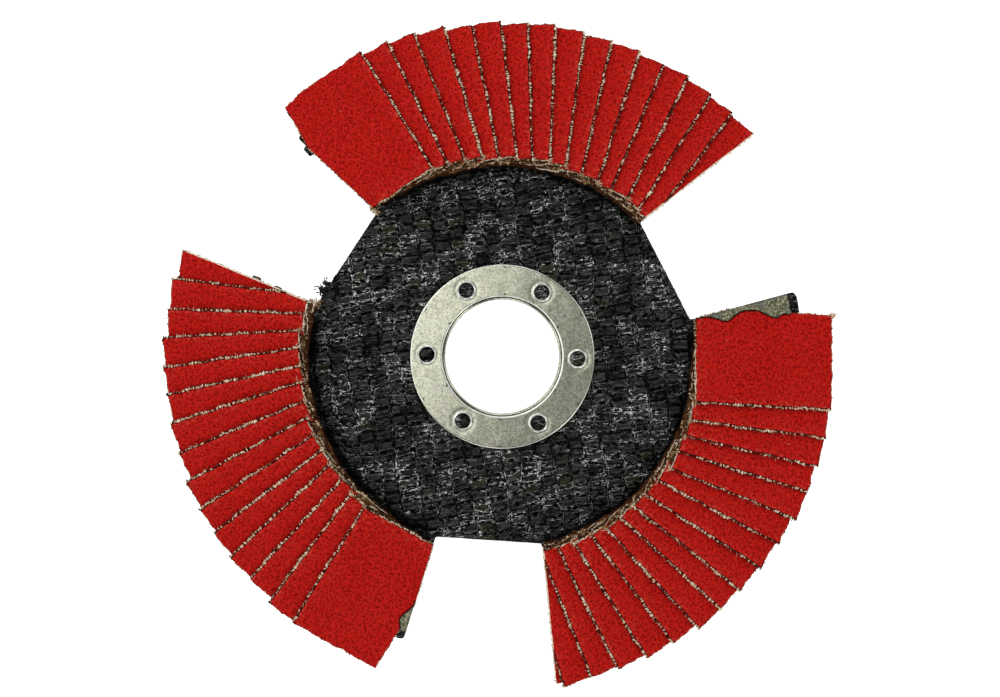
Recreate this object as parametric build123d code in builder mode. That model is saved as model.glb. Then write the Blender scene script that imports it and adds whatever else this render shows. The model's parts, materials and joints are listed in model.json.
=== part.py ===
from build123d import *
import os
from math import asin, atan2, cos, degrees, hypot, radians, sin, tan

# A flap disc for an angle grinder, 125 mm class, with three see-through gaps.
# A pressed glass-fibre plate with a depressed hub carries a flanged steel bore
# ring, and three fans of abrasive cloth flaps stand on beds of cement on it.
# Each flap leans on the one before it, like a roof slate, and the fans were cut
# off square with the plate at the gaps.
#
# Frame: millimetres, +Z along the spindle towards the work, origin on the bore
# axis in the plane of the rear hub face, so the disc lies on its back on Z = 0.
# Angles are in degrees, anticlockwise about +Z from +X.

# Centre ring, one pressing: a flange on the front and a collar through the plate
BORE_R = 22.23 / 2
COLLAR_WALL = 0.6
FLANGE_R = 18.0
FLANGE_THICK = 0.6
COLLAR_LIP_R = 0.5
FLANGE_EDGE_R = 0.15
KEY_HOLE_R = 1.5
KEY_HOLE_COUNT = 6
KEY_HOLE_CIRCLE_R = 14.7
KEY_HOLE_START = 1.6
KEY_HOLE_FLARE = 0.3
KEY_PLUG_RISE = 0.35

# Backing plate: three layers with one common shape, each as thick as it says
REAR_PLY = 0.5
CORE = 1.9
FRONT_PLY = 0.6
PLATE_THICK = REAR_PLY + CORE + FRONT_PLY
PLATE_BORE_R = BORE_R + COLLAR_WALL + 0.05
HUB_FLAT_R = 23.5
SHOULDER_R = 30.5
HUB_DEPTH = 3.4
RIM_R = 58.5
CONE_ANGLE = 5.5
BEND_R = 3.0

# Paper label, let in flush with the rear of the hub
LABEL_IN_R = 15.0
LABEL_OUT_R = 33.5
LABEL_THICK = 0.15

# The three gaps: direction that the straight inner edge faces, then for each of
# the two sides its angle where it meets that edge and how far it leans from the
# radius there into the gap.
GAPS = [
    (30.5, 14.3, 3.9, 47.5, 6.4),
    (150.0, 134.0, 6.3, 167.4, 6.4),
    (269.5, 252.9, 2.9, 285.3, 6.4),
]
GAP_EDGE_R = 35.5
GAP_CORNER_R = 0.8
GAP_REACH = 75.0
PLATE_CORNER_R = 0.7

# Cement bed under each fan of flaps
BED_IN_R = 39.0
BED_OUT_R = 56.3
BED_THICK = 0.8
GLUE_LINE = 0.06

# Flaps: a cloth rectangle each, set a little off the radius
FLAP_WIDTH = 18.1
FLAP_LENGTH = 26.9
FLAP_YAW = -2.7
FLAP_THICK = 0.97
LAYER_STEP = 1.05

# The fans: angle of the top flap's centre, pitch, how many flaps show, and how
# far out their centres lie. FANS[n] lies between GAPS[n] and the next gap.
FANS = [(126.8, 4.88, 16, 50.3), (243.3, 4.98, 15, 50.9), (363.0, 5.03, 16, 50.1)]
REMNANTS = 4
CUT_INWARD = 6.0

# Hand-laid flaps wander a little along, across and about their places
WANDER_ALONG = 0.35
WANDER_ACROSS = 0.22
WANDER_YAW = 0.7

CUT_BELOW = -5.0
CUT_HEIGHT = 30.0


def cone_drop(radius):
    """How far the front of the plate has fallen below its shoulder."""
    return (radius - SHOULDER_R) * tan(radians(CONE_ANGLE))


def front_height(radius):
    """Height of the plate's conical front face, outside the shoulder."""
    return PLATE_THICK + HUB_DEPTH - cone_drop(radius)


def wander(fan, index, amount, phase):
    """A small irregular offset, the same each time it is worked out."""
    return amount * sin(2.4 * index + 1.9 * fan + phase) * cos(1.3 * index + phase)


def layer(bottom, top, inner_r, outer_r):
    """Section of one ply: the plate's common line, thickened from bottom to top."""
    line = [
        (inner_r, 0),
        (HUB_FLAT_R, 0),
        (SHOULDER_R, HUB_DEPTH),
        (outer_r, HUB_DEPTH - cone_drop(outer_r)),
    ]
    with BuildSketch() as section:
        with BuildLine():
            low = FilletPolyline(*[(r, z + bottom) for r, z in line], radius=BEND_R)
            high = FilletPolyline(*[(r, z + top) for r, z in line], radius=BEND_R)
            Line(low @ 0, high @ 0)
            Line(low @ 1, high @ 1)
        make_face()
    return section.sketch


def gap_corners(gap, edge_r):
    """The four corners of a gap in plan, its inner edge being edge_r from the axis:
    two on that edge and two far out."""
    facing, first, first_lean, second, second_lean = [radians(angle) for angle in gap]
    corners = []
    for side, heading in ((first, first + first_lean), (second, second - second_lean)):
        meet = GAP_EDGE_R / cos(side - facing)
        near = (edge_r - GAP_EDGE_R) / cos(heading - facing)
        for along in (near, GAP_REACH):
            x = meet * cos(side) + along * cos(heading)
            y = meet * sin(side) + along * sin(heading)
            corners.append((x, y))
    first_near, first_far, second_near, second_far = corners
    return [first_near, first_far, second_far, second_near]


def gap_cutters(edge_r, corner_r):
    """The three gaps as solids, tall enough to cut everything they pass."""
    with BuildPart() as cutters:
        with BuildSketch(Plane.XY.offset(CUT_BELOW)) as plan:
            for gap in GAPS:
                Polygon(*gap_corners(gap, edge_r), align=None)
            fillet([v for v in plan.vertices() if hypot(v.X, v.Y) < RIM_R], corner_r)
        extrude(amount=CUT_HEIGHT)
    return cutters.part


def rim_corners(plate):
    """The six upright edges where the gaps' sides meet the rim of a ply."""
    return [
        edge
        for edge in plate.edges().filter_by(Axis.Z)
        if abs(hypot(edge.center().X, edge.center().Y) - RIM_R) < GAP_CORNER_R
    ]


def arc_points(start, end):
    """Points beyond the disc, evenly spread between two directions."""
    turns = [start + (end - start) * step / 4 for step in range(5)]
    return [(2 * RIM_R * cos(radians(a)), 2 * RIM_R * sin(radians(a))) for a in turns]


def flap_frame(fan, index):
    """A flap's centre and its direction, in plan. Flap 0 of a fan is its top one."""
    top_angle, pitch, _, centre_r = FANS[fan]
    seat = radians(top_angle - index * pitch)
    yaw = radians(FLAP_YAW + wander(fan, index, WANDER_YAW, 0.4))
    along = wander(fan, index, WANDER_ALONG, 1.1)
    across = wander(fan, index, WANDER_ACROSS, 2.7)
    radius = centre_r + along
    centre = (
        radius * cos(seat) - across * sin(seat),
        radius * sin(seat) + across * cos(seat),
    )
    return centre, seat + yaw


def flap_underside(fan, index, x, y):
    """Height of a flap's underside over a plan point. Each flap lies on one turn
    of a helical ramp that touches the cement bed along the flap's low edge, and
    the next flap's ramp is one layer step above it everywhere."""
    top_angle, pitch, _, centre_r = FANS[fan]
    seat = top_angle - index * pitch
    radius = hypot(x, y)
    turn = degrees(atan2(y, x))
    turn += 360 * round((seat - turn) / 360)
    low_edge = FLAP_WIDTH / 2 - centre_r * sin(radians(FLAP_YAW))
    low_angle = seat + FLAP_YAW + degrees(asin(low_edge / radius))
    climb = LAYER_STEP * (low_angle - turn) / pitch
    return front_height(radius) + BED_THICK + GLUE_LINE + climb


def flap_solid(fan, index):
    """One whole flap, lofted from its inner end to its outer end."""
    (cx, cy), heading = flap_frame(fan, index)
    ahead = Vector(cos(heading), sin(heading), 0)
    left = Vector(-sin(heading), cos(heading), 0)
    with BuildPart() as flap:
        for end in (-FLAP_LENGTH / 2, FLAP_LENGTH / 2):
            middle = Vector(cx, cy, 0) + ahead * end
            outline = []
            for side in (-FLAP_WIDTH / 2, FLAP_WIDTH / 2):
                corner = middle + left * side
                outline.append((side, flap_underside(fan, index, corner.X, corner.Y)))
            outline += [(side, z + FLAP_THICK) for side, z in reversed(outline)]
            with BuildSketch(Plane(middle, x_dir=left, z_dir=ahead)):
                Polygon(*outline, align=None)
        loft(ruled=True)
    return flap.part


def write(part, label):
    """Names a finished piece and writes its STEP file."""
    part.label = label
    export_step(part, f"parts/{label}.step")


os.makedirs("parts", exist_ok=True)
plate_cutters = gap_cutters(GAP_EDGE_R, GAP_CORNER_R)
fan_cutters = gap_cutters(GAP_EDGE_R - CUT_INWARD, GAP_CORNER_R)

# Bore ring -----------------------------------------------------------------
hub_front = PLATE_THICK
ring_top = hub_front + FLANGE_THICK
with BuildPart() as bore_ring:
    with BuildSketch(Plane.XZ) as ring_section:
        with BuildLine():
            Polyline(
                (BORE_R, 0),
                (BORE_R + COLLAR_WALL, 0),
                (BORE_R + COLLAR_WALL, hub_front),
                (FLANGE_R, hub_front),
                (FLANGE_R, ring_top),
                (BORE_R, ring_top),
                close=True,
            )
        make_face()
        lip = ring_section.vertices().group_by(Axis.X)[0].sort_by(Axis.Y)[-1]
        fillet(lip, COLLAR_LIP_R)
        outer_edge = ring_section.vertices().group_by(Axis.X)[-1].sort_by(Axis.Y)[-1]
        fillet(outer_edge, FLANGE_EDGE_R)
    revolve(axis=Axis.Z)
    with Locations(Plane.XY.offset(ring_top)):
        with PolarLocations(KEY_HOLE_CIRCLE_R, KEY_HOLE_COUNT, KEY_HOLE_START):
            CounterSinkHole(KEY_HOLE_R, KEY_HOLE_R + KEY_HOLE_FLARE, FLANGE_THICK, 90)
write(bore_ring.part, "bore_ring")

# Backing plate -------------------------------------------------------------
with BuildPart() as rear_label:
    with BuildSketch(Plane.XZ):
        add(layer(0, LABEL_THICK, LABEL_IN_R, LABEL_OUT_R))
    revolve(axis=Axis.Z)
write(rear_label.part, "rear_label")

with BuildPart() as rear_ply:
    with BuildSketch(Plane.XZ):
        add(layer(0, REAR_PLY, PLATE_BORE_R, RIM_R))
    revolve(axis=Axis.Z)
    with BuildSketch(Plane.XZ):
        add(layer(0, LABEL_THICK, LABEL_IN_R, LABEL_OUT_R))
    revolve(axis=Axis.Z, mode=Mode.SUBTRACT)
    add(plate_cutters, mode=Mode.SUBTRACT)
    fillet(rim_corners(rear_ply), PLATE_CORNER_R)
write(rear_ply.part, "rear_glass_ply")

with BuildPart() as plate_core:
    with BuildSketch(Plane.XZ):
        add(layer(REAR_PLY, REAR_PLY + CORE, PLATE_BORE_R, RIM_R))
    revolve(axis=Axis.Z)
    add(plate_cutters, mode=Mode.SUBTRACT)
    fillet(rim_corners(plate_core), PLATE_CORNER_R)
write(plate_core.part, "plate_core")

with BuildPart() as front_ply:
    with BuildSketch(Plane.XZ):
        add(layer(REAR_PLY + CORE, PLATE_THICK, PLATE_BORE_R, RIM_R))
    revolve(axis=Axis.Z)
    add(plate_cutters, mode=Mode.SUBTRACT)
    fillet(rim_corners(front_ply), PLATE_CORNER_R)
    # resin that was pressed up into the ring's key holes
    with BuildSketch(Plane.XY.offset(hub_front)):
        with PolarLocations(KEY_HOLE_CIRCLE_R, KEY_HOLE_COUNT, KEY_HOLE_START):
            Circle(KEY_HOLE_R)
    extrude(amount=KEY_PLUG_RISE)
write(front_ply.part, "front_glass_ply")

# Cement beds and flaps, fan by fan -----------------------------------------
for fan, (_, _, shown, _) in enumerate(FANS):
    name = f"fan{fan + 1}"
    bed_from = GAPS[fan][0]
    bed_to = bed_from + (GAPS[(fan + 1) % 3][0] - bed_from) % 360
    with BuildPart() as bed:
        with BuildSketch(Plane.XZ):
            bottom = [(r, front_height(r)) for r in (BED_IN_R, BED_OUT_R)]
            top = [(r, z + BED_THICK) for r, z in reversed(bottom)]
            Polygon(*bottom, *top, align=None)
        revolve(axis=Axis.Z)
        with BuildSketch(Plane.XY.offset(CUT_BELOW)):
            Polygon((0, 0), *arc_points(bed_from, bed_to), align=None)
        extrude(amount=CUT_HEIGHT, mode=Mode.INTERSECT)
        add(fan_cutters, mode=Mode.SUBTRACT)
    write(bed.part, f"{name}_cement_bed")

    for index in range(shown):
        with BuildPart() as flap:
            add(flap_solid(fan, index))
            add(fan_cutters, mode=Mode.SUBTRACT)
        write(flap.part, f"{name}_flap_{shown - index:02d}")

    # the last flaps of the fan, of which the cut left only the low edges
    with BuildPart() as remnants:
        for index in range(shown, shown + REMNANTS):
            add(flap_solid(fan, index))
        add(fan_cutters, mode=Mode.SUBTRACT)
    write(remnants.part, f"{name}_cut_flaps")
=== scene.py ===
import json
from math import asin, atan2, cos, degrees, hypot, pi, radians, sin, tan

import bmesh
import bpy
import numpy as np
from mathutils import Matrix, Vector


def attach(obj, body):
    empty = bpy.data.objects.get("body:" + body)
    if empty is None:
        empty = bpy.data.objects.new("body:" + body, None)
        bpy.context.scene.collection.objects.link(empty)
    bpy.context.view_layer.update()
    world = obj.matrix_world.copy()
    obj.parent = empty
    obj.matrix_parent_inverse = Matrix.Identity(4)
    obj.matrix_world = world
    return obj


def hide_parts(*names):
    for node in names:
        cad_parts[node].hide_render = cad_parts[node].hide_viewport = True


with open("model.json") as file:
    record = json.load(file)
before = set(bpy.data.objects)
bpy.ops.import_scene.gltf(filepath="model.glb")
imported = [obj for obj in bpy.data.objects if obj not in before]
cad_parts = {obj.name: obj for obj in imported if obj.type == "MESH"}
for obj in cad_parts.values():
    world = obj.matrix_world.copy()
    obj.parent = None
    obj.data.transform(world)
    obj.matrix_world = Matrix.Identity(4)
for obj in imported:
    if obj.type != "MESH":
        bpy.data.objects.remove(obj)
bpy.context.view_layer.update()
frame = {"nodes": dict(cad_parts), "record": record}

# The looks of the flap disc. Lengths are worked out in millimetres, as in the CAD
# model, and turned into metres where a mesh is made. Angles are in degrees,
# anticlockwise about +Z from +X, unless a name says otherwise.
MM = 0.001

# The plate, as the CAD frame has it
BORE_R = frame["record"]["mounts"][0]["dims"]["r_mm"]
COLLAR_WALL = 0.6
FLANGE_R = 18.0
FLANGE_THICK = 0.6
KEY_HOLE_R = 1.5
KEY_HOLE_COUNT = 6
KEY_HOLE_CIRCLE_R = 14.7
KEY_HOLE_START = 1.6
REAR_PLY = 0.5
CORE = 1.9
FRONT_PLY = 0.6
PLATE_THICK = REAR_PLY + CORE + FRONT_PLY
PLATE_BORE_R = BORE_R + COLLAR_WALL + 0.05
HUB_FLAT_R = 23.5
SHOULDER_R = 30.5
HUB_DEPTH = 3.4
RIM_R = 58.5
CONE_ANGLE = 5.5
PLATE_CORNER_R = 0.7
LABEL_IN_R = 15.0
LABEL_OUT_R = 33.5

# The gaps: facing, then for each side its angle at the inner edge and its lean from
# the radius there into the gap, as the CAD frame has them
GAPS = [
    (30.5, 14.3, 3.9, 47.5, 6.4),
    (150.0, 134.0, 6.3, 167.4, 6.4),
    (269.5, 252.9, 2.9, 285.3, 6.4),
]
GAP_EDGE_R = 35.5

# Cement and flaps, as the CAD frame has them
BED_IN_R = 39.0
BED_OUT_R = 56.3
BED_THICK = 0.8
GLUE_LINE = 0.06
FLAP_WIDTH = 18.1
FLAP_LENGTH = 26.9
FLAP_YAW = -2.7
FLAP_THICK = 0.97
LAYER_STEP = 1.05
FANS = [(126.8, 4.88, 16, 50.3), (243.3, 4.98, 15, 50.9), (363.0, 5.03, 16, 50.1)]
REMNANTS = 4
WANDER_ALONG = 0.35
WANDER_ACROSS = 0.22
WANDER_YAW = 0.7


# Shapes shared with the CAD frame ------------------------------------------
def front_height(radius):
    """Height of the plate's conical front face, outside the shoulder."""
    drop = (radius - SHOULDER_R) * tan(radians(CONE_ANGLE))
    return PLATE_THICK + HUB_DEPTH - drop


def gap_side(gap, second):
    """Where a side of a gap leaves its inner edge, in plan, and its heading."""
    facing, first, first_lean, last, last_lean = [radians(a) for a in gap]
    at, heading = (last, last - last_lean) if second else (first, first + first_lean)
    meet = GAP_EDGE_R / cos(at - facing)
    return np.array([meet * cos(at), meet * sin(at)]), heading


def side_turn(gap, second, radius):
    """Direction, in radians, of the point of a gap's side that is that far out."""
    place, heading = gap_side(gap, second)
    aside = -place[0] * sin(heading) + place[1] * cos(heading)
    return heading + np.arcsin(aside / radius)


def fan_sides(fan, radius):
    """Directions of a fan's low and high ends at a radius, in radians."""
    low = side_turn(GAPS[fan], True, radius)
    high = side_turn(GAPS[(fan + 1) % 3], False, radius)
    return low, high + 2 * pi * (np.mean(high) < np.mean(low))


def wander(fan, index, amount, phase):
    return amount * sin(2.4 * index + 1.9 * fan + phase) * cos(1.3 * index + phase)


def flap_frame(fan, index):
    """A flap's centre and heading, in plan."""
    top_angle, pitch, _, centre_r = FANS[fan]
    seat = radians(top_angle - index * pitch)
    yaw = radians(FLAP_YAW + wander(fan, index, WANDER_YAW, 0.4))
    along = wander(fan, index, WANDER_ALONG, 1.1)
    across = wander(fan, index, WANDER_ACROSS, 2.7)
    radius = centre_r + along
    centre = (
        radius * cos(seat) - across * sin(seat),
        radius * sin(seat) + across * cos(seat),
    )
    return centre, seat + yaw


def flap_underside(fan, index, x, y):
    """Height of a flap's underside over a plan point."""
    top_angle, pitch, _, centre_r = FANS[fan]
    seat = top_angle - index * pitch
    radius = hypot(x, y)
    turn = degrees(atan2(y, x))
    turn += 360 * round((seat - turn) / 360)
    low_edge = FLAP_WIDTH / 2 - centre_r * sin(radians(FLAP_YAW))
    low_angle = seat + FLAP_YAW + degrees(asin(low_edge / radius))
    climb = LAYER_STEP * (low_angle - turn) / pitch
    return front_height(radius) + BED_THICK + GLUE_LINE + climb


# Noise, all of it from fixed seeds -----------------------------------------
TABLE = 256


def smooth_noise(x, y, size, seed):
    """Value noise from 0 to 1, smooth between points that are size apart."""
    table = np.random.default_rng(seed).random((TABLE, TABLE))
    u, v = np.asarray(x) / size, np.asarray(y) / size
    iu, iv = np.floor(u).astype(int), np.floor(v).astype(int)
    fu, fv = u - iu, v - iv
    fu, fv = fu * fu * (3 - 2 * fu), fv * fv * (3 - 2 * fv)
    i0, i1, j0, j1 = iu % TABLE, (iu + 1) % TABLE, iv % TABLE, (iv + 1) % TABLE
    low = table[i0, j0] * (1 - fu) + table[i1, j0] * fu
    high = table[i0, j1] * (1 - fu) + table[i1, j1] * fu
    return low * (1 - fv) + high * fv


def layered_noise(x, y, size, seed, octaves=3):
    """Smooth noise at several sizes, about 0, roughly from -1 to 1."""
    total, weight = 0, 1
    for octave in range(octaves):
        total = total + weight * (smooth_noise(x, y, size, seed + octave) * 2 - 1)
        size, weight = size / 2.1, weight / 2
    return total


def grain_bumps(x, y, size, seed, fill=0.75):
    """Rounded grains from 0 to 1, one to a cell of a jittered grid."""
    rng = np.random.default_rng(seed)
    jitter_u, jitter_v = rng.random((TABLE, TABLE)), rng.random((TABLE, TABLE))
    tall = rng.random((TABLE, TABLE)) * 0.8 + 0.2
    u, v = np.asarray(x) / size, np.asarray(y) / size
    iu, iv = np.floor(u).astype(int), np.floor(v).astype(int)
    best = np.zeros(np.shape(u))
    for di in (-1, 0, 1):
        for dj in (-1, 0, 1):
            ci, cj = (iu + di) % TABLE, (iv + dj) % TABLE
            du = u - (iu + di + jitter_u[ci, cj])
            dv = v - (iv + dj + jitter_v[ci, cj])
            far = np.sqrt(du * du + dv * dv) / fill
            best = np.maximum(best, tall[ci, cj] * np.clip(1 - far * far, 0, 1))
    return best


# Meshes ---------------------------------------------------------------------
def new_piece(name, points_mm, faces, materials, face_slots):
    """A mesh object from points in millimetres, riding on the one body."""
    mesh = bpy.data.meshes.new(name)
    mesh.from_pydata([tuple(p) for p in np.asarray(points_mm) * MM], [], faces)
    for material in materials:
        mesh.materials.append(material)
    mesh.polygons.foreach_set("material_index", face_slots)
    mesh.polygons.foreach_set("use_smooth", [True] * len(mesh.polygons))
    mesh.update()
    piece = bpy.data.objects.new(name, mesh)
    bpy.context.scene.collection.objects.link(piece)
    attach(piece, "root")
    return piece


def grid_faces(rows, columns, first=0, wrap=False):
    """Quads of a grid whose points run along its columns first."""
    faces = []
    for row in range(rows - 1):
        for column in range(columns if wrap else columns - 1):
            a = first + row * columns + column
            b = first + row * columns + (column + 1) % columns
            faces.append((a, b, b + columns, a + columns))
    return faces


def turned(faces):
    """Faces that look the other way."""
    return [tuple(reversed(face)) for face in faces]


def slab(top, bottom, wrap=False):
    """Points and quads of a closed slab between two grids of points, given as
    arrays of rows by columns by 3. The grids may differ in rows only if wrap."""
    rows, columns = top.shape[:2]
    low_rows = bottom.shape[0]
    first = rows * columns
    faces = turned(grid_faces(rows, columns, 0, wrap))
    faces += grid_faces(low_rows, columns, first, wrap)
    steps = columns if wrap else columns - 1
    for c in range(steps):
        d = (c + 1) % columns
        faces.append((c, d, first + d, first + c))
        a, b = (rows - 1) * columns, first + (low_rows - 1) * columns
        faces.append((a + d, a + c, b + c, b + d))
    if not wrap:
        for r in range(rows - 1):
            a, b = r * columns, (r + 1) * columns
            faces.append((a, first + a, first + b, b))
            a, b = a + columns - 1, b + columns - 1
            faces.append((b, first + b, first + a, a))
    points = np.concatenate([top.reshape(-1, 3), bottom.reshape(-1, 3)])
    return points, faces


class Pile:
    """Points, faces, material numbers and tones gathered for one mesh."""

    def __init__(self):
        self.points, self.faces, self.slots, self.tones, self.count = [], [], [], [], 0

    def add(self, points, faces, slot=0, tone=0.0):
        points = np.asarray(points, float).reshape(-1, 3)
        self.points.append(points)
        self.faces += [tuple(i + self.count for i in face) for face in faces]
        self.slots += [slot] * len(faces) if isinstance(slot, int) else list(slot)
        self.tones.append(np.broadcast_to(np.ravel(tone), len(points)))
        self.count += len(points)

    def piece(self, name, materials, slot):
        points = np.concatenate(self.points)
        piece = new_piece(name, points, self.faces, materials, self.slots)
        set_values(piece, "tone", np.concatenate(self.tones))
        return piece


def set_values(piece, name, values):
    """Stores one number per point, for the material to read."""
    layer = piece.data.attributes.new(name, "FLOAT", "POINT")
    layer.data.foreach_set("value", np.asarray(values, np.float32))


# Yarn ends and fibres: little closed shapes, copied along the edges --------------
def tube_ends(rows, sides):
    """The two end faces of a tube whose rings of points follow one another."""
    return [tuple(reversed(range(sides))), tuple(range((rows - 1) * sides, rows * sides))]


def stub_shape(sides=6):
    """A blunt stub one unit long along +X, half a unit thick each way."""
    ways = [2 * pi * k / sides for k in range(sides)]
    stations = [(-0.3, 0.42), (0.35, 0.5), (0.8, 0.36)]
    points = [(x, radius * cos(a), radius * sin(a)) for x, radius in stations for a in ways]
    points.append((1.0, 0, 0))
    faces = grid_faces(len(stations), sides, 0, True)
    last = (len(stations) - 1) * sides
    faces += [(last + k, last + (k + 1) % sides, len(points) - 1) for k in range(sides)]
    faces.append(tuple(reversed(range(sides))))
    return np.array(points), faces


def fibre_shape(bend, sides=3, steps=4):
    """A hair one unit long along +X that bows towards +Y, tapering to its tip."""
    points = []
    for s in range(steps + 1):
        t = s / steps
        radius = 0.5 * (1 - 0.75 * t)
        bow = bend * 0.4 * sin(pi * t)
        for k in range(sides):
            a = 2 * pi * k / sides
            points.append((t, radius * cos(a) + bow, radius * sin(a)))
    faces = grid_faces(steps + 1, sides, 0, True) + tube_ends(steps + 1, sides)
    return np.array(points), faces


STUB = stub_shape()


def unit(v):
    return v / np.linalg.norm(v, axis=-1, keepdims=True)


def place_copies(shape, roots, aims, ups, sizes):
    """Copies of a shape: its X along aims, its Z near ups. Sizes are length,
    width and height of each copy."""
    points, faces = shape
    roots, aims, ups = (np.asarray(v, float).reshape(-1, 3) for v in (roots, aims, ups))
    sizes = np.asarray(sizes, float).reshape(-1, 3)
    aims = unit(aims)
    sides = unit(np.cross(ups, aims))
    ups = np.cross(aims, sides)
    out = (
        roots[:, None]
        + aims[:, None] * (points[None, :, :1] * sizes[:, None, :1])
        + sides[:, None] * (points[None, :, 1:2] * sizes[:, None, 1:2])
        + ups[:, None] * (points[None, :, 2:] * sizes[:, None, 2:])
    )
    all_faces = []
    for k in range(len(roots)):
        all_faces += [tuple(i + k * len(points) for i in face) for face in faces]
    return out.reshape(-1, 3), all_faces


def tuft(pile, root, aim, count, length, thick, spread, slot, rng, tones=(0.0, 1.0)):
    """A tuft of hairs that leave one place, fanning out about aim."""
    root, aim = np.asarray(root, float), np.asarray(aim, float)
    for _ in range(count):
        way = unit(aim + rng.normal(0, spread, 3))
        shape = fibre_shape(rng.uniform(-6, 6))
        start = root + rng.normal(0, thick * 1.5, 3)
        size = [length * rng.uniform(0.4, 1.1), thick, thick]
        copies = place_copies(shape, start, way, rng.normal(0, 1, 3), size)
        pile.add(*copies, slot, rng.uniform(*tones))


def strand(path, thick, sides=4):
    """A thin closed strand along a path of points."""
    path = np.asarray(path, float)
    ahead = unit(np.gradient(path, axis=0))
    aside = unit(np.cross(ahead, [0, 0, 1.0]))
    up = np.cross(aside, ahead)
    ways = 2 * pi * np.arange(sides) / sides
    thick = np.broadcast_to(thick, len(path))[:, None, None] / 2
    ring = np.cos(ways)[None, :, None] * aside[:, None]
    ring = ring + np.sin(ways)[None, :, None] * up[:, None]
    faces = grid_faces(len(path), sides, 0, True) + tube_ends(len(path), sides)
    return (path[:, None] + thick * ring).reshape(-1, 3), faces


# Materials ------------------------------------------------------------------
class Shade:
    """A small helper that builds one node material, in millimetres. What its methods
    take are node outputs, numbers or colours."""

    def __init__(self, name):
        self.material = bpy.data.materials.new(name)
        self.material.use_nodes = True
        self.tree = self.material.node_tree
        self.shader = self.tree.nodes["Principled BSDF"]
        place = self.node("ShaderNodeTexCoord", "Object", {})
        scaled = {0: place, "Scale": 1 / MM}
        self.mm = self.node("ShaderNodeVectorMath", 0, scaled, operation="SCALE")

    def feed(self, socket, value):
        if isinstance(value, bpy.types.NodeSocket):
            self.tree.links.new(value, socket)
        elif isinstance(value, tuple) and len(socket.default_value) == 4:
            socket.default_value = (*value, 1)
        else:
            socket.default_value = value

    def node(self, kind, output, inputs, **settings):
        node = self.tree.nodes.new(kind)
        for name, setting in settings.items():
            setattr(node, name, setting)
        for name, value in inputs.items():
            self.feed(node.inputs[name], value)
        return node.outputs[output]

    def stretch(self, factors):
        scaled = {0: self.mm, 1: factors}
        return self.node("ShaderNodeVectorMath", 0, scaled, operation="MULTIPLY")

    def noise(self, size, detail=2.0, rough=0.5, where=None):
        inputs = {"Vector": where or self.mm, "Scale": 1 / size}
        inputs.update({"Detail": detail, "Roughness": rough})
        return self.node("ShaderNodeTexNoise", "Fac", inputs)

    def cells(self, size, output="Distance", flat=False):
        inputs = {"Vector": self.mm, "Scale": 1 / size}
        shape = "2D" if flat else "3D"
        return self.node("ShaderNodeTexVoronoi", output, inputs, voronoi_dimensions=shape)

    def ramp(self, value, low, high, to_low=0.0, to_high=1.0):
        inputs = {"Value": value, "From Min": low, "From Max": high}
        inputs.update({"To Min": to_low, "To Max": to_high})
        smooth = {"interpolation_type": "SMOOTHSTEP"}
        return self.node("ShaderNodeMapRange", "Result", inputs, **smooth)

    def maths(self, how, *values):
        return self.node("ShaderNodeMath", 0, dict(enumerate(values)), operation=how)

    def times(self, a, b):
        return self.maths("MULTIPLY", a, b)

    def join(self, x, y):
        return self.node("ShaderNodeCombineXYZ", 0, {0: x, 1: y})

    def lot(self, where):
        """A random number for each whole-numbered place."""
        inputs = {"Vector": where}
        return self.node("ShaderNodeTexWhiteNoise", "Value", inputs, noise_dimensions="2D")

    def attribute(self, name):
        return self.node("ShaderNodeAttribute", "Fac", {}, attribute_name=name)

    def mix(self, factor, a, b):
        return self.node("ShaderNodeMix", 2, {0: factor, 6: a, 7: b}, data_type="RGBA")

    def stops(self, value, colours):
        node = self.tree.nodes.new("ShaderNodeValToRGB")
        elements = node.color_ramp.elements
        while len(elements) < len(colours):
            elements.new(0.5)
        for element, (place, colour) in zip(elements, colours):
            element.position = place
            element.color = (*colour, 1)
        self.feed(node.inputs["Fac"], value)
        return node.outputs["Color"]

    def bump(self, height, strength, distance_mm):
        inputs = {"Height": height, "Strength": strength, "Distance": distance_mm * MM}
        bumped = self.node("ShaderNodeBump", "Normal", inputs)
        self.feed(self.shader.inputs["Normal"], bumped)

    def finish(self, colour, rough, metal=0.0, specular=0.5):
        inputs = {"Base Color": colour, "Roughness": rough, "Metallic": metal}
        inputs["Specular IOR Level"] = specular
        for name, value in inputs.items():
            self.feed(self.shader.inputs[name], value)
        return self.material


PITCH_BLACK = (0.0006, 0.0006, 0.0006)


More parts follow.
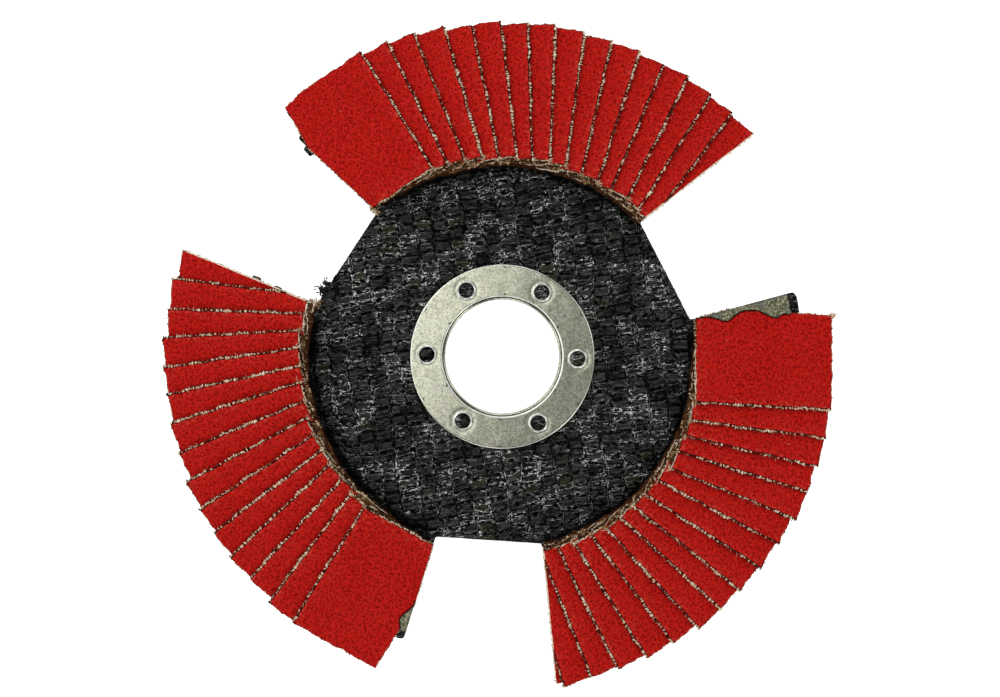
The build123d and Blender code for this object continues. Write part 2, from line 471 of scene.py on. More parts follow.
def red_grit_material():
    s = Shade("red_grit")
    broad = s.noise(9.0, 2.0)
    fine = s.noise(0.3, 3.0, 0.7)
    colour = s.mix(s.ramp(broad, 0.3, 0.7), (0.49, 0.008, 0.005), (0.54, 0.0105, 0.007))
    warm = s.ramp(s.noise(0.55, 2.0, 0.7), 0.38, 0.66, 0.0, 0.7)
    colour = s.mix(warm, colour, (0.6, 0.021, 0.0145))
    colour = s.mix(s.ramp(fine, 0.45, 0.7, 0.0, 0.6), colour, (0.34, 0.003, 0.002))
    dots = s.ramp(s.cells(0.6, flat=True), 0.18, 0.5, 1.0, 0.0)
    dots = s.times(dots, s.ramp(s.noise(0.8, 1.0), 0.35, 0.6, 0.4, 1.0))
    colour = s.mix(s.times(dots, 0.85), colour, (0.19, 0.0025, 0.0025))
    pale = s.ramp(s.noise(0.45, 2.0, 0.6), 0.6, 0.72)
    colour = s.mix(s.times(pale, 0.4), colour, (0.72, 0.035, 0.02))
    specks = s.ramp(s.cells(1.9), 0.05, 0.1, 1.0, 0.0)
    specks = s.times(specks, s.ramp(s.noise(4.0, 1.0), 0.64, 0.7))
    colour = s.mix(specks, colour, (0.62, 0.2, 0.16))
    edge = s.maths("MINIMUM", s.attribute("tone"), 1.0)
    wear_and_painted_light = s.times(edge, s.ramp(s.noise(0.6, 3.0), 0.5, 0.66))
    colour = s.mix(s.times(wear_and_painted_light, 0.6), colour, (0.72, 0.1, 0.07))
    # Painted shade: where the tone runs above 1.2, along the flap's rolled rim, the grit is
    # painted nearly black.
    shaded = s.ramp(s.attribute("tone"), 1.2, 2.2, 0.0, 0.9)
    colour = s.mix(shaded, colour, (0.05, 0.004, 0.003))
    s.bump(s.noise(0.2, 3.0, 0.7), 0.5, 0.12)
    return s.finish(colour, s.ramp(fine, 0.2, 0.8, 0.6, 0.85), specular=0.03)


def cloth_material():
    s = Shade("cut_cloth")
    layers = s.noise(1.0, 3.0, 0.6, s.stretch((0.9, 0.9, 5.0)))
    colour = s.stops(
        layers,
        [
            (0.30, (0.02, 0.009, 0.005)),
            (0.45, (0.085, 0.034, 0.014)),
            (0.53, (0.16, 0.085, 0.028)),
            (0.6, (0.46, 0.3, 0.16)),
            (0.68, (0.13, 0.07, 0.022)),
        ],
    )
    lint = s.ramp(s.noise(0.35, 2.0), 0.6, 0.7)
    colour = s.mix(s.times(lint, 0.6), colour, (0.5, 0.33, 0.19))
    s.bump(s.noise(0.3, 3.0, 0.7), 0.8, 0.2)
    return s.finish(colour, 0.85, specular=0.1)


def yarn_material():
    s = Shade("frayed_yarn")
    colour = s.stops(
        s.attribute("tone"),
        [
            (0.0, (0.016, 0.006, 0.004)),
            (0.25, (0.07, 0.021, 0.007)),
            (0.45, (0.21, 0.08, 0.019)),
            (0.65, (0.47, 0.25, 0.085)),
            (0.85, (0.88, 0.68, 0.46)),
            (1.0, (1.0, 0.92, 0.75)),
        ],
    )
    twist = s.ramp(s.noise(0.22, 2.0), 0.5, 0.66, 0, 0.4)
    colour = s.mix(twist, colour, (0.1, 0.035, 0.015))
    s.bump(s.noise(0.1, 2.0), 0.5, 0.05)
    return s.finish(colour, 0.8, specular=0.1)


def back_cloth_material():
    s = Shade("cloth_back")
    threads = s.cells(0.45, "Distance")
    colour = s.mix(s.ramp(threads, 0.1, 0.5), (0.2, 0.075, 0.035), (0.075, 0.026, 0.014))
    colour = s.mix(s.ramp(s.noise(3.0, 3.0), 0.4, 0.7, 0, 0.5), colour, (0.24, 0.13, 0.06))
    s.bump(threads, 0.6, 0.15)
    return s.finish(colour, 0.8, specular=0.25)


def resin_material():
    """Black resin over glass strands. The strand numbers across and along the cloth come
    from the mesh, so each strand has its own tone, fibres and painted glints on its edges."""
    s = Shade("black_resin")
    across, along = s.attribute("strand_u"), s.attribute("strand_v")
    each = s.lot(s.join(s.maths("FLOOR", across), s.maths("FLOOR", along)))
    other = s.maths("FRACT", s.times(each, 37.0))
    wobble = s.times(s.maths("SUBTRACT", s.noise(0.8, 3.0, 0.65), 0.5), 0.3)
    off_u = s.maths("ABSOLUTE", s.maths("SUBTRACT", s.maths("FRACT", across), 0.5))
    off_v = s.maths("ABSOLUTE", s.maths("SUBTRACT", s.maths("FRACT", along), 0.5))
    off_u, off_v = s.maths("ADD", off_u, wobble), s.maths("ADD", off_v, wobble)
    groove = s.maths("MAXIMUM", s.ramp(off_u, 0.33, 0.4), s.ramp(off_v, 0.29, 0.37))
    where = s.join(s.times(across, 1.2), s.times(along, 7.0))
    fibres = s.noise(1.0, 3.0, 0.6, where)
    colour = s.mix(each, (0.002, 0.0022, 0.0019), (0.026, 0.028, 0.0245))
    colour = s.mix(s.ramp(fibres, 0.46, 0.64, 0.0, 0.7), colour, (0.075, 0.08, 0.071))
    olive = s.times(s.ramp(other, 0.93, 0.94), s.ramp(fibres, 0.4, 0.6, 0.2, 0.8))
    colour = s.mix(olive, colour, (0.042, 0.044, 0.02))
    # Painted shade: the grooves between the strands and scattered patches are painted near
    # black.
    shadow_patches = s.ramp(s.noise(0.8, 3.0, 0.65), 0.52, 0.6, 0.0, 0.8)
    colour = s.mix(s.maths("MAXIMUM", groove, shadow_patches), colour, PITCH_BLACK)
    # Painted highlights: near-white glints along the strands' edges, in patches.
    level = s.join(s.times(across, 3.2), s.times(along, 8.0))
    upright = s.join(s.times(across, 14.0), s.times(along, 2.4))
    flat, steep = s.noise(1.0, 2.0, 0.6, level), s.noise(1.0, 2.0, 0.6, upright)
    edge = s.times(s.ramp(off_v, 0.1, 0.24), s.ramp(flat, 0.52, 0.59))
    side = s.times(s.ramp(off_u, 0.28, 0.36), s.ramp(steep, 0.55, 0.61))
    glint = s.maths("MAXIMUM", edge, side)
    glint = s.times(glint, s.ramp(s.noise(0.3, 2.0, 0.7), 0.44, 0.58, 0.1, 1.0))
    glint = s.times(glint, s.ramp(other, 0.2, 0.7, 0.25, 1.0))
    glint = s.times(glint, s.ramp(s.noise(4.0, 2.0), 0.4, 0.6, 0.12, 1.0))
    colour = s.mix(glint, colour, (1.0, 1.0, 0.98))
    # Painted shade and shadow: where the mesh's tone is low, in the weave's low places and
    # in the fans' shadow laid into the front ply's tone, the resin is painted black.
    shade = s.ramp(s.attribute("tone"), 0.05, 0.35, 0.85, 0.0)
    colour = s.mix(shade, colour, PITCH_BLACK)
    height = s.maths("SUBTRACT", s.times(fibres, 0.5), groove)
    s.bump(s.maths("ADD", height, s.noise(0.3, 3.0, 0.7)), 0.7, 0.18)
    gloss = s.ramp(s.noise(0.9, 3.0), 0.3, 0.7, 0.12, 0.3)
    rough = s.maths("ADD", gloss, s.times(each, 0.12))
    return s.finish(colour, rough, specular=0.02)


def plate_edge_material():
    s = Shade("pressed_plate_edge")
    layers = s.noise(1.0, 4.0, 0.7, s.stretch((0.6, 0.6, 3.2)))
    colour = s.stops(
        layers,
        [
            (0.3, (0.006, 0.006, 0.006)),
            (0.5, (0.02, 0.021, 0.018)),
            (0.62, (0.07, 0.068, 0.05)),
            (0.72, (0.015, 0.015, 0.014)),
        ],
    )
    s.bump(s.noise(0.35, 4.0, 0.7), 0.8, 0.25)
    return s.finish(colour, s.ramp(layers, 0.3, 0.7, 0.35, 0.65))


def steel_material():
    """Plated steel. The mesh's tone paints light and shade on it: 0 painted shade, 0.5
    plain, 1 painted highlight.
    """
    s = Shade("plated_steel")
    mottle = s.noise(2.4, 4.0, 0.6)
    grain = s.noise(0.46, 3.0, 0.75)
    colour = s.mix(s.ramp(mottle, 0.35, 0.65), (0.68, 0.695, 0.53), (0.74, 0.75, 0.6))
    colour = s.mix(s.ramp(grain, 0.46, 0.6, 0.0, 0.62), colour, (0.34, 0.335, 0.26))
    stain = s.ramp(s.noise(2.6, 4.0, 0.7), 0.6, 0.72, 0, 0.35)
    colour = s.mix(stain, colour, (0.32, 0.27, 0.19))
    pits = s.ramp(s.cells(0.9), 0.08, 0.15, 1.0, 0.0)
    pits = s.times(pits, s.ramp(s.noise(1.8, 2.0), 0.55, 0.62))
    colour = s.mix(s.times(pits, 0.9), colour, (0.03, 0.03, 0.026))
    scratch = s.ramp(s.noise(1.0, 2.0, 0.5, s.stretch((0.5, 3.4, 1.0))), 0.7, 0.73)
    colour = s.mix(s.times(scratch, 0.5), colour, (0.9, 0.9, 0.84))
    worn_and_painted_light = s.attribute("tone")
    # Painted shade where the tone is low, and a near-white painted highlight where it is
    # high.
    colour = s.mix(s.ramp(worn_and_painted_light, 0.1, 0.45, 1.0, 0.0), colour, (0.02, 0.02, 0.018))
    colour = s.mix(s.ramp(worn_and_painted_light, 0.56, 0.85), colour, (1.0, 1.0, 0.96))
    s.bump(s.noise(0.16, 3.0, 0.8), 0.3, 0.05)
    rough = s.ramp(mottle, 0.3, 0.7, 0.14, 0.2)
    rough = s.maths("ADD", rough, s.ramp(worn_and_painted_light, 0.56, 0.85, 0.0, 0.2))
    return s.finish(colour, rough, 1.0)


def cement_material():
    s = Shade("cement")
    grains = s.times(s.cells(0.3, "Color"), 0.7)
    colour = s.stops(
        s.maths("ADD", grains, s.times(s.noise(0.3, 3.0, 0.7), 0.4)),
        [
            (0.2, (0.03, 0.03, 0.02)),
            (0.42, (0.112, 0.112, 0.064)),
            (0.56, (0.19, 0.184, 0.11)),
            (0.75, (0.45, 0.44, 0.3)),
        ],
    )
    patches = s.ramp(s.noise(3.4, 2.0), 0.56, 0.66, 0, 0.6)
    colour = s.mix(patches, colour, (0.1, 0.125, 0.13))
    dark = s.ramp(s.noise(0.35, 2.0, 0.7), 0.56, 0.64, 0, 0.7)
    colour = s.mix(dark, colour, (0.03, 0.032, 0.02))
    colour = s.mix(s.attribute("tone"), colour, (0.012, 0.011, 0.009))
    s.bump(s.noise(0.25, 4.0, 0.7), 0.8, 0.2)
    return s.finish(colour, 0.8, specular=0.15)


def paper_material():
    s = Shade("plain_paper")
    pulp = s.noise(0.5, 5.0, 0.7)
    colour = s.mix(s.ramp(pulp, 0.35, 0.65), (0.52, 0.49, 0.41), (0.64, 0.61, 0.53))
    stain = s.ramp(s.noise(6.0, 3.0), 0.5, 0.72, 0.0, 0.5)
    colour = s.mix(stain, colour, (0.36, 0.31, 0.22))
    press = s.attribute("tone")
    colour = s.mix(s.ramp(press, 0.3, 0.9, 0.3, 0.0), colour, (0.25, 0.24, 0.2))
    s.bump(pulp, 0.3, 0.1)
    return s.finish(colour, 0.8, specular=0.3)


red_grit = red_grit_material()
cut_cloth = cloth_material()
cloth_back = back_cloth_material()
yarn = yarn_material()
resin = resin_material()
plate_edge = plate_edge_material()
steel = steel_material()
cement = cement_material()
paper = paper_material()

# Backing plate ------------------------------------------------------------------
radii = np.linspace(0, 70, 1401)
line = np.interp(radii, [0, HUB_FLAT_R, SHOULDER_R], [0, 0, HUB_DEPTH])
line = line - np.clip(radii - SHOULDER_R, 0, None) * tan(radians(CONE_ANGLE))
SOFT = 29
padded_line = np.pad(line, SOFT // 2, mode="edge")
soft_line = np.convolve(padded_line, np.ones(SOFT) / SOFT, mode="valid")


def dish(radius):
    """Height of the plate's rear face at a radius, its bends rounded."""
    return np.interp(radius, radii, soft_line)


WEAVE_TURN = radians(12.0)
WEFT_PITCH = 2.05
WARP_PITCH = 3.3
COLUMNS = 64
column_shift = np.random.default_rng(31).uniform(-0.3, 0.3, COLUMNS)


def strand_place(x, y):
    """Where a point of the plate lies on the glass cloth, counted in strands."""
    u = x * cos(WEAVE_TURN) + y * sin(WEAVE_TURN) + 0.5 * layered_noise(x, y, 6.0, 31, 3)
    v = -x * sin(WEAVE_TURN) + y * cos(WEAVE_TURN) + 0.35 * layered_noise(x, y, 5.0, 37, 3)
    u, v = u / WARP_PITCH, v / WEFT_PITCH
    return u, v + column_shift[np.floor(u).astype(int) % COLUMNS]


def weave(x, y):
    """Height from 0 to 1 of the pressed cloth: flat weft strands, each dipping
    where the thin warp holds it down."""
    u, v = strand_place(x, y)
    across, along = np.abs(u % 1 - 0.5), np.abs(v % 1 - 0.5)
    i, j = np.floor(u).astype(int), np.floor(v).astype(int)
    each = np.random.default_rng(43).random((COLUMNS, COLUMNS))[i % COLUMNS, j % COLUMNS]
    pillow = np.clip(1 - (across / 0.5) ** 4, 0, 1) * np.clip(1 - (along / 0.5) ** 4, 0, 1)
    warp = 0.55 * np.clip(1 - ((0.5 - across) / 0.09) ** 2, 0, 1)
    lumps = 0.1 * layered_noise(x, y, 0.9, 41, 2)
    return np.clip(np.maximum(pillow * (0.7 + 0.3 * each), warp) + lumps, 0, 1)


def shares(rows, columns):
    """Shares from 0 to 1 down and across a grid."""
    share = np.linspace(0, 1, rows)[:, None] * np.ones((1, columns))
    across = np.linspace(0, 1, columns)[None, :] * np.ones((rows, 1))
    return share, across


# Where the wings start, how far the hub runs under them, the tone of hidden faces
WING_IN_R = 36.7
HUB_LAP = 1.6
BACK_TONE = 0.6


def hub_grid(in_r, out_r, step, columns, lay):
    """Polar grid of the plate's middle, out to the gaps' inner edges. lay gives
    each point's height and tone from its plan."""
    turns = np.linspace(0, 2 * pi, columns, endpoint=False)
    far = np.full(columns, float(out_r))
    for facing, first, _, second, _ in GAPS:
        off = (np.degrees(turns) - facing + 180) % 360 - 180
        inside = (off > first - facing) & (off < second - facing)
        far[inside] = GAP_EDGE_R / np.cos(np.radians(off[inside]))
    rows = int((out_r - in_r) / step) + 1
    share = np.linspace(0, 1, rows)[:, None]
    radius = in_r + share * (far - in_r)[None, :]
    return lay(radius * np.cos(turns), radius * np.sin(turns), radius)


def wing_grid(number, in_r, rows, columns, lay):
    """Grid of one of the plate's wings, which carry the flaps."""
    share, across = shares(rows, columns)
    start, end = fan_sides(number, RIM_R)
    reach = np.minimum(across, 1 - across) * (end - start) * RIM_R
    bite = np.clip(PLATE_CORNER_R - reach, 0, PLATE_CORNER_R)
    rim = RIM_R - PLATE_CORNER_R + np.sqrt(PLATE_CORNER_R**2 - bite**2)
    radius = in_r + share * (rim - in_r)
    start, end = fan_sides(number, radius)
    turns = start + across * (end - start)
    return lay(radius * np.cos(turns), radius * np.sin(turns), radius)


def plain_lay(base):
    """How to lay the plain grid that closes a ply, at a height above the dish."""

    def lay(x, y, radius):
        return np.stack([x, y, dish(radius) + base], -1), np.full(np.shape(x), BACK_TONE)

    return lay


hole_turns = [KEY_HOLE_START + 360 / KEY_HOLE_COUNT * k for k in range(KEY_HOLE_COUNT)]
hole_centres = [
    (KEY_HOLE_CIRCLE_R * cos(radians(a)), KEY_HOLE_CIRCLE_R * sin(radians(a)))
    for a in hole_turns
]


def hole_distance(x, y):
    """Distance from each point to the nearest key hole's centre."""
    return np.min([np.hypot(x - hx, y - hy) for hx, hy in hole_centres], axis=0)


# The front cloth: its relief, where a painted shadow darkens it under the fans, and over
# how far
WEAVE_DEPTH = 0.42
DIM_R = 34.9
DIM_FADE = 1.4


def front_lay(x, y, radius):
    tone = weave(x, y)
    z = dish(radius) + PLATE_THICK + WEAVE_DEPTH * (tone - 0.8)
    under_ring = radius < FLANGE_R - 0.2
    z = np.where(under_ring, np.minimum(z, PLATE_THICK - 0.02), z)
    in_hole = np.clip(1 - (hole_distance(x, y) / (KEY_HOLE_R - 0.1)) ** 4, 0, 1)
    z = z + in_hole * (0.28 + 0.12 * tone)
    turns = np.arctan2(y, x)
    under_fan = np.zeros(np.shape(x))
    for fan in range(3):
        start, end = fan_sides(fan, np.maximum(radius, GAP_EDGE_R + 1.2))
        middle = (start + end) / 2
        off = np.abs((turns - middle + pi) % (2 * pi) - pi)
        under_fan = np.maximum(under_fan, np.clip(((end - start) / 2 - off) * 12, 0, 1))
    # Painted shadow: under the fans the tone falls off outward from DIM_R over DIM_FADE,
    # and the resin material paints it black.
    dim = 1 - under_fan * np.clip((radius - DIM_R) / DIM_FADE, 0, 1)
    return np.stack([x, y, z], -1), tone * dim


def ply_piece(name, face_lay, back_lay, in_r, step, columns, wing_rows, wing_columns, turn):
    """One ply of the plate as a hub and three wings, closed behind. Its cloth is
    turned over if turn is -1."""
    pile = Pile()
    top, tone = hub_grid(in_r, WING_IN_R + HUB_LAP, step, columns, face_lay)
    low, low_tone = hub_grid(in_r, WING_IN_R + HUB_LAP, 3.0, columns, back_lay)
    pile.add(*slab(top, low, wrap=True), 0, np.append(tone, low_tone))
    for number in range(3):
        top, tone = wing_grid(number, WING_IN_R, wing_rows, wing_columns, face_lay)
        low, low_tone = wing_grid(number, WING_IN_R, wing_rows, wing_columns, back_lay)
        pile.add(*slab(top, low), 0, np.append(tone, low_tone))
    piece = pile.piece(name, [resin], "glass_resin")
    points = np.concatenate(pile.points)
    u, v = strand_place(points[:, 0], turn * points[:, 1])
    set_values(piece, "strand_u", u)
    set_values(piece, "strand_v", v)
    return piece


front_back = plain_lay(REAR_PLY + CORE - 0.02)
front = ply_piece("front_ply", front_lay, front_back, PLATE_BORE_R, 0.28, 800, 40, 110, 1)
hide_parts("front_glass_ply")


def rear_lay(x, y, radius):
    tone = weave(x, -y)
    z = dish(radius) - 0.3 * (tone - 0.95)
    flat = (radius < LABEL_OUT_R) * 1.0
    z = z * (1 - flat) + flat * (dish(radius) + 0.17)
    inner = radius < LABEL_IN_R
    z = np.where(inner, dish(radius) + 0.02, z)
    return np.stack([x, y, z], -1), tone


rear_back = plain_lay(REAR_PLY)
rear = ply_piece("rear_ply", rear_lay, rear_back, PLATE_BORE_R, 0.5, 540, 56, 130, -1)
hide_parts("rear_glass_ply")

# Rear label, pressed into the weave behind it -----------------------------------
turns = np.linspace(0, 2 * pi, 400, endpoint=False)
ragged = 0.25 * layered_noise(30 * np.cos(turns), 30 * np.sin(turns), 3.0, 61, 3)
share = np.linspace(0, 1, 64)[:, None]
label_r = LABEL_IN_R + share * (LABEL_OUT_R - 0.3 + ragged - LABEL_IN_R)[None, :]
label_x, label_y = label_r * np.cos(turns), label_r * np.sin(turns)
press = weave(label_x, -label_y)
creep = layered_noise(label_x, label_y, 5.0, 67, 3)
label_z = dish(label_r) + 0.07 * (1 - press) + 0.02 * creep
label_z = np.maximum(label_z, dish(label_r) * (label_r < HUB_FLAT_R))
label_top = np.stack([label_x, label_y, label_z], -1)
label_back = np.stack([label_x, label_y, dish(label_r) + 0.16], -1)
pile = Pile()
pile.add(*slab(label_back, label_top, wrap=True), 0, np.append(press, press))
label = pile.piece("label", [paper], "paper_label")
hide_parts("rear_label")

# Core: kept from the CAD frame, seen at the rim and in the gaps' sides
core = frame["nodes"]["plate_core"]
core.data.materials.clear()
core.data.materials.append(plate_edge)

# Bore ring ----------------------------------------------------------------------
RING_TOP = PLATE_THICK + FLANGE_THICK
RING_FACE = RING_TOP - 0.03
LIP_R = 12.05
EDGE_R = 17.55
HOLE_LIP = 0.16
RING_FALL = 0.02


def ring_top(x, y):
    """Height of the flange's face: a raised rim round each key hole, slight waves
    and a slight fall towards the outside."""
    away = hole_distance(x, y) - KEY_HOLE_R
    lip = HOLE_LIP * np.exp(-(((away - 0.12) / 0.12) ** 2))
    dent = 0.02 * layered_noise(x, y, 2.6, 71, 3)
    sink = 0.05 * np.exp(-(((away - 0.6) / 0.3) ** 2))
    fall = RING_FALL * (np.hypot(x, y) - LIP_R)
    return RING_FACE + lip + dent - sink - fall


def hole_highlight_and_shade(x, y):
    """Painted highlight and shade on the steel round the key holes: their rims are painted
    bright, their foot painted dark.
    """
    away = hole_distance(x, y) - KEY_HOLE_R
    bright = 0.5 * np.exp(-(((away - 0.13) / 0.2) ** 6))
    dark = 0.22 * np.exp(-(((away - 0.46) / 0.08) ** 2))
    return 0.5 + bright - dark


# The flange's face: a fan of rings round each key hole, close together at its rim
pile = Pile()
around = 96
rings = [0, 0.012, 0.024, 0.038, 0.052, 0.07, 0.09, 0.11, 0.14, 0.18, 0.24, 0.32, 0.42]
rings = np.array([*rings, 0.56, 0.7, 0.85, 1])
ways = np.linspace(0, 2 * pi, around, endpoint=False)
for turn, (hx, hy) in zip(hole_turns, hole_centres):
    far = np.empty(around)
    for k, way in enumerate(ways):
        reach = np.linspace(KEY_HOLE_R, 12, 1600)
        px, py = hx + reach * cos(way), hy + reach * sin(way)
        pr = np.hypot(px, py)
        pa = (np.degrees(np.arctan2(py, px)) - turn + 180) % 360 - 180
        out = (pr < LIP_R) | (pr > EDGE_R) | (np.abs(pa) > 180 / KEY_HOLE_COUNT)
        far[k] = reach[np.argmax(out)]
    reach = KEY_HOLE_R + rings[:, None] * (far - KEY_HOLE_R)[None, :]
    px, py = hx + reach * np.cos(ways), hy + reach * np.sin(ways)
    face = np.stack([px, py, ring_top(px, py)], -1)
    # Each hole's wall runs down to tone 0: painted shade inside the hole.
    wall = np.stack([px[:1], py[:1], np.full((1, around), PLATE_THICK)], -1)
    wear_and_painted_light = np.append(np.zeros(around), hole_highlight_and_shade(px, py))
    face = np.concatenate([wall, face])
    pile.add(face, turned(grid_faces(len(face), around, 0, True)), 0, wear_and_painted_light)

# Profiles of the outer edge and of the bore: radius, height from the face, and a tone that
# paints highlight on the rounded edges and shade below them
OUTLINE = [
    (EDGE_R - 0.02, 0.0, 0.5),
    (EDGE_R + 0.2, -0.01, 0.55),
    (FLANGE_R - 0.12, -0.05, 0.8),
    (FLANGE_R - 0.03, -0.14, 0.6),
    (FLANGE_R, -0.3, 0.2),
    (FLANGE_R, -FLANGE_THICK + 0.04, 0.1),
]
INWARD = [
    (LIP_R + 0.02, 0.0, 0.4),
    (LIP_R - 0.08, 0.0, 0.5),
    (LIP_R - 0.16, -0.02, 1.0),
    (LIP_R - 0.3, -0.05, 0.95),
    (LIP_R - 0.38, -0.1, 0.05),
    (LIP_R - 0.52, -0.12, 0.05),
    (LIP_R - 0.6, -0.14, 0.34),
    (BORE_R + 0.16, -0.2, 0.36),
    (BORE_R + 0.04, -0.4, 0.28),
    (BORE_R, -0.8, 0.15),
    (BORE_R, -1.5, 0.1),
    (BORE_R + 0.01, -2.6, 0.1),
    (BORE_R + 0.02, -RING_TOP + 0.08, 0.3),
    (BORE_R + 0.2, -RING_TOP, 0.5),
    (BORE_R + COLLAR_WALL, -RING_TOP + 0.05, 0.5),
    (BORE_R + COLLAR_WALL, -1.2, 0.3),
]
spin = np.linspace(0, 2 * pi, 288, endpoint=False)
for profile, flip in ((OUTLINE, True), (INWARD, False)):
    rows, painted_light_rows = [], []
    for radius, drop, wear_and_painted_light in profile:
        x, y = radius * np.cos(spin), radius * np.sin(spin)
        blend = np.clip(1 + drop / 0.3, 0, 1) if drop < 0 else 1.0
        z = ring_top(x, y) * blend + RING_FACE * (1 - blend) + drop
        z = np.maximum(z + 0.012 * layered_noise(x, y, 1.2, 73, 2), 0.0)
        rows.append(np.stack([x, y, z], -1))
        painted_light_rows.append(np.full(len(spin), wear_and_painted_light))
    faces = grid_faces(len(rows), len(spin), 0, True)
    if flip:
        faces = turned(faces)
    pile.add(np.array(rows), faces, 0, np.array(painted_light_rows))
ring = pile.piece("ring", [steel], "plated_steel")
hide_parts("bore_ring")

# Flaps --------------------------------------------------------------------------
GRIT_STEP = 0.34
STRIP = 6.4
GRIT_DEPTH = 0.11
EDGE_WANDER = 0.13
CLOTH_SHARE = 0.8
INNER_STRIP = 3.3
BARE_END = 1.7


def edge_noise(place, seed, size=1.3):
    return layered_noise(place, np.zeros_like(place) + 0.5, size, seed, 3)


class Flap:
    """One flap: where it lies and the mesh that stands for it."""

    def __init__(self, fan, index):
        self.fan, self.index = fan, index
        (cx, cy), self.heading = flap_frame(fan, index)
        self.centre = np.array([cx, cy])
        self.ahead = np.array([cos(self.heading), sin(self.heading)])
        self.left = np.array([-sin(self.heading), cos(self.heading)])
        self.corner = {}
        for x in (-1, 1):
            for y in (-1, 1):
                p = self.plan(x * FLAP_WIDTH / 2, y * FLAP_LENGTH / 2)
                self.corner[x, y] = flap_underside(fan, index, p[0], p[1])
        self.seed = 1000 + 100 * fan + index
        self.rng = np.random.default_rng(self.seed)

    def plan(self, x, y):
        x, y = np.asarray(x, float), np.asarray(y, float)
        return self.centre + x[..., None] * self.left + y[..., None] * self.ahead

    def under(self, x, y):
        """Height of the underside, straight from corner to corner."""
        s = np.asarray(x) / FLAP_WIDTH + 0.5
        t = np.asarray(y) / FLAP_LENGTH + 0.5
        inner = self.corner[-1, -1] * (1 - s) + self.corner[1, -1] * s
        outer = self.corner[-1, 1] * (1 - s) + self.corner[1, 1] * s
        return inner * (1 - t) + outer * t

    def point(self, x, y, lift):
        plan = self.plan(x, y)
        z = self.under(x, y) + lift
        return np.concatenate([plan, np.asarray(z)[..., None]], -1)

    def edges(self, x, y):
        """Moves grid points so that the flap's four edges are a little uneven, and its
        inner end follows the arc that the ground-down ends make."""
        half_w, half_l = FLAP_WIDTH / 2, FLAP_LENGTH / 2
        near_right = np.exp(-(x + half_w) / 0.9)
        near_left = np.exp(-(half_w - x) / 0.9)
        near_in = np.exp(-(y + half_l) / 0.9)
        near_out = np.exp(-(half_l - y) / 0.9)
        out_x = x + EDGE_WANDER * edge_noise(y, self.seed) * near_right
        out_x = out_x + EDGE_WANDER * edge_noise(y + 40, self.seed + 7) * near_left
        out_y = y + EDGE_WANDER * edge_noise(x, self.seed + 3) * near_in
        out_y = out_y + 1.3 * EDGE_WANDER * edge_noise(x + 40, self.seed + 5) * near_out
        if self.index == 0 and self.fan == 0:
            corner = np.clip(1 - (half_w - x) / 6, 0, 1) ** 2
            out_y = out_y - 0.9 * corner * np.exp(-(half_l - y) / 1.8)
        if self.index:
            lateral = float(self.centre @ self.left)
            end = float(self.centre @ self.ahead) - half_l
            corner_r = hypot(end, lateral - half_w)
            arc = np.sqrt(corner_r**2 - np.clip(x + lateral, -6.6, 6.6) ** 2) - end
            hidden = np.clip((x + half_w - INNER_STRIP) / 1.2, 0, 1)
            out_y = out_y + (0.45 * arc * (1 - hidden) - 0.35 * hidden) * near_in
            covered = np.clip((x + half_w - STRIP) / 4.0, 0, 1)
            out_y = out_y - 0.9 * covered * near_out
        return out_x, out_y

    def build(self, plane_cuts):
        half_w, half_l = FLAP_WIDTH / 2, FLAP_LENGTH / 2
        if self.index == 0:
            xs = np.linspace(-half_w, half_w, int(FLAP_WIDTH / GRIT_STEP) + 1)
        else:
            strip = np.linspace(-half_w, -half_w + STRIP, int(STRIP / GRIT_STEP) + 1)
            xs = np.concatenate([strip, np.linspace(-half_w + STRIP, half_w, 5)[1:]])
        ys = np.linspace(-half_l, half_l, int(FLAP_LENGTH / GRIT_STEP) + 1)
        gx, gy = np.meshgrid(xs, ys)
        mx, my = self.edges(gx, gy)
        plan = self.plan(mx, my)
        grain = grain_bumps(plan[..., 0], plan[..., 1], 0.62, self.seed % 17 + 200)
        lift = FLAP_THICK + GRIT_DEPTH * (grain - 0.55)
        lift = lift + 0.04 * layered_noise(plan[..., 0], plan[..., 1], 3.0, 91, 2)
        inset = np.minimum(half_w - np.abs(gx), half_l - np.abs(gy))
        lift = lift - 0.2 * np.exp(-inset / 0.22)
        top = self.point(mx, my, lift)
        rows, columns = gx.shape
        loop = [(0, c) for c in range(columns)]
        loop += [(r, columns - 1) for r in range(1, rows)]
        loop += [(rows - 1, c) for c in range(columns - 2, -1, -1)]
        loop += [(r, 0) for r in range(rows - 2, 0, -1)]
        lr, lc = np.array(loop).T
        lx, ly = mx[lr, lc], my[lr, lc]
        swell = 0.05 * self.rng.standard_normal(len(loop))
        middle = self.point(lx * (1 + swell / half_w), ly, FLAP_THICK * CLOTH_SHARE)
        bottom = self.point(lx, ly, 0.0)
        count, n = rows * columns, len(loop)
        faces = grid_faces(rows, columns)
        middle_x = (gx[:-1, :-1] + gx[1:, 1:]).ravel() / 2 + half_w
        middle_y = (gy[:-1, :-1] + gy[1:, 1:]).ravel() / 2 + half_l
        ragged = BARE_END + 0.4 * edge_noise(middle_x, self.seed + 9)
        bare = (self.index > 0) & (middle_x > INNER_STRIP + 0.5) & (middle_y < ragged)
        slots = list(bare.astype(int))
        for k in range(n):
            a, b = lr[k] * columns + lc[k], lr[(k + 1) % n] * columns + lc[(k + 1) % n]
            c, d = count + k, count + (k + 1) % n
            faces += [(b, a, c, d), (d, c, c + n, d + n)]
            slots += [0, 1]
        faces.append(tuple(reversed(range(count + n, count + 2 * n))))
        slots.append(2)
        points = np.concatenate([top.reshape(-1, 3), middle, bottom])
